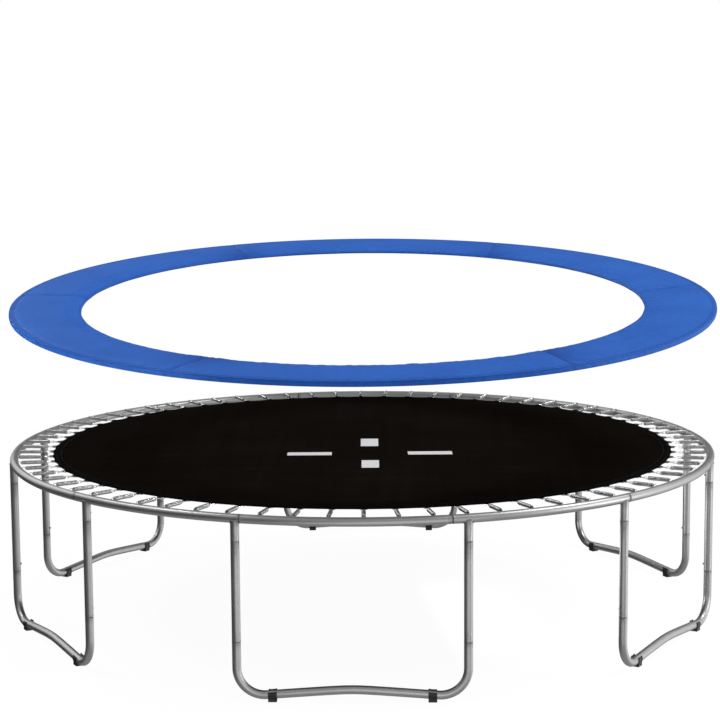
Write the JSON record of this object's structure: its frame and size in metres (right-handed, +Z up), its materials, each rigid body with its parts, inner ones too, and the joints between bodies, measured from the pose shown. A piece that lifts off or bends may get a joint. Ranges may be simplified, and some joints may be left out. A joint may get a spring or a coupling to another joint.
{
  "type": "backyard trampoline",
  "caption": "Round backyard trampoline: sprung woven mat in a curved tube ring on W-shaped tube legs, with its padded safety ring held above the frame.",
  "frame": {"origin": "on the ground, under the centre of the top ring", "axes": "+Z up; leg 1 is centred on -Y; +X to the right when facing leg 1 from outside"},
  "size_m": [3.6566, 3.6566, 1.7954],
  "materials": {
    "galvanised_steel": "satin",
    "zinc_spring": "satin",
    "woven_mat": "matte",
    "blue_cover": "satin",
    "black_plastic": "matte",
    "black_webbing": "matte"
  },
  "bodies": {
    "frame": {"rail_plain_1": "galvanised_steel", "rail_plain_2": "galvanised_steel", "rail_plain_3": "galvanised_steel", "rail_plain_4": "galvanised_steel", "rail_plain_5": "galvanised_steel", "rail_plain_6": "galvanised_steel", "rail_socket_1": "galvanised_steel", "rail_socket_2": "galvanised_steel", "rail_socket_3": "galvanised_steel", "rail_socket_4": "galvanised_steel", "rail_socket_5": "galvanised_steel", "rail_socket_6": "galvanised_steel", "leg_base_1": "galvanised_steel", "leg_base_2": "galvanised_steel", "leg_base_3": "galvanised_steel", "leg_base_4": "galvanised_steel", "leg_base_5": "galvanised_steel", "leg_base_6": "galvanised_steel", "leg_post_01": "galvanised_steel", "leg_post_02": "galvanised_steel", "leg_post_03": "galvanised_steel", "leg_post_04": "galvanised_steel", "leg_post_05": "galvanised_steel", "leg_post_06": "galvanised_steel", "leg_post_07": "galvanised_steel", "leg_post_08": "galvanised_steel", "leg_post_09": "galvanised_steel", "leg_post_10": "galvanised_steel", "leg_post_11": "galvanised_steel", "leg_post_12": "galvanised_steel", "foot_clip_01": "black_plastic", "foot_clip_02": "black_plastic", "foot_clip_03": "black_plastic", "foot_clip_04": "black_plastic", "foot_clip_05": "black_plastic", "foot_clip_06": "black_plastic", "foot_clip_07": "black_plastic", "foot_clip_08": "black_plastic", "foot_clip_09": "black_plastic", "foot_clip_10": "black_plastic", "foot_clip_11": "black_plastic", "foot_clip_12": "black_plastic"},
    "mat": {"jumping_mat": "woven_mat", "spring_bank_01": "zinc_spring", "spring_bank_02": "zinc_spring", "spring_bank_03": "zinc_spring", "spring_bank_04": "zinc_spring", "spring_bank_05": "zinc_spring", "spring_bank_06": "zinc_spring", "spring_bank_07": "zinc_spring", "spring_bank_08": "zinc_spring", "spring_bank_09": "zinc_spring", "spring_bank_10": "zinc_spring", "spring_bank_11": "zinc_spring", "spring_bank_12": "zinc_spring"},
    "pad_ties": {"pad_tie_left": "black_webbing", "pad_tie_right": "black_webbing"},
    "pad": {"pad_ring": "blue_cover"}
  },
  "joints": [
    {"name": "mat_bounce", "type": "slide", "parent": "frame", "child": "mat", "axis": [0, 0, 1], "range_m": [-0.15, 0], "stiffness_N_per_m": 3300, "springref_m": 0.09, "deforming": ["spring_bank_01", "spring_bank_02", "spring_bank_03", "spring_bank_04", "spring_bank_05", "spring_bank_06", "spring_bank_07", "spring_bank_08", "spring_bank_09", "spring_bank_10", "spring_bank_11", "spring_bank_12"]},
    {"name": "pad_lift", "type": "slide", "parent": "frame", "child": "pad_ties", "axis": [0, 0, 1], "range_m": [-0.733, 0]},
    {"name": "pad_tilt", "type": "hinge", "parent": "pad_ties", "child": "pad", "pos_m": [0, 0, 1.601], "axis": [1, 0, 0], "range_deg": [-5.3, 0]}
  ],
  "couplings": [
    {"joint": "pad_tilt", "follows": "pad_lift", "rad_per_m": 0.1262}
  ]
}
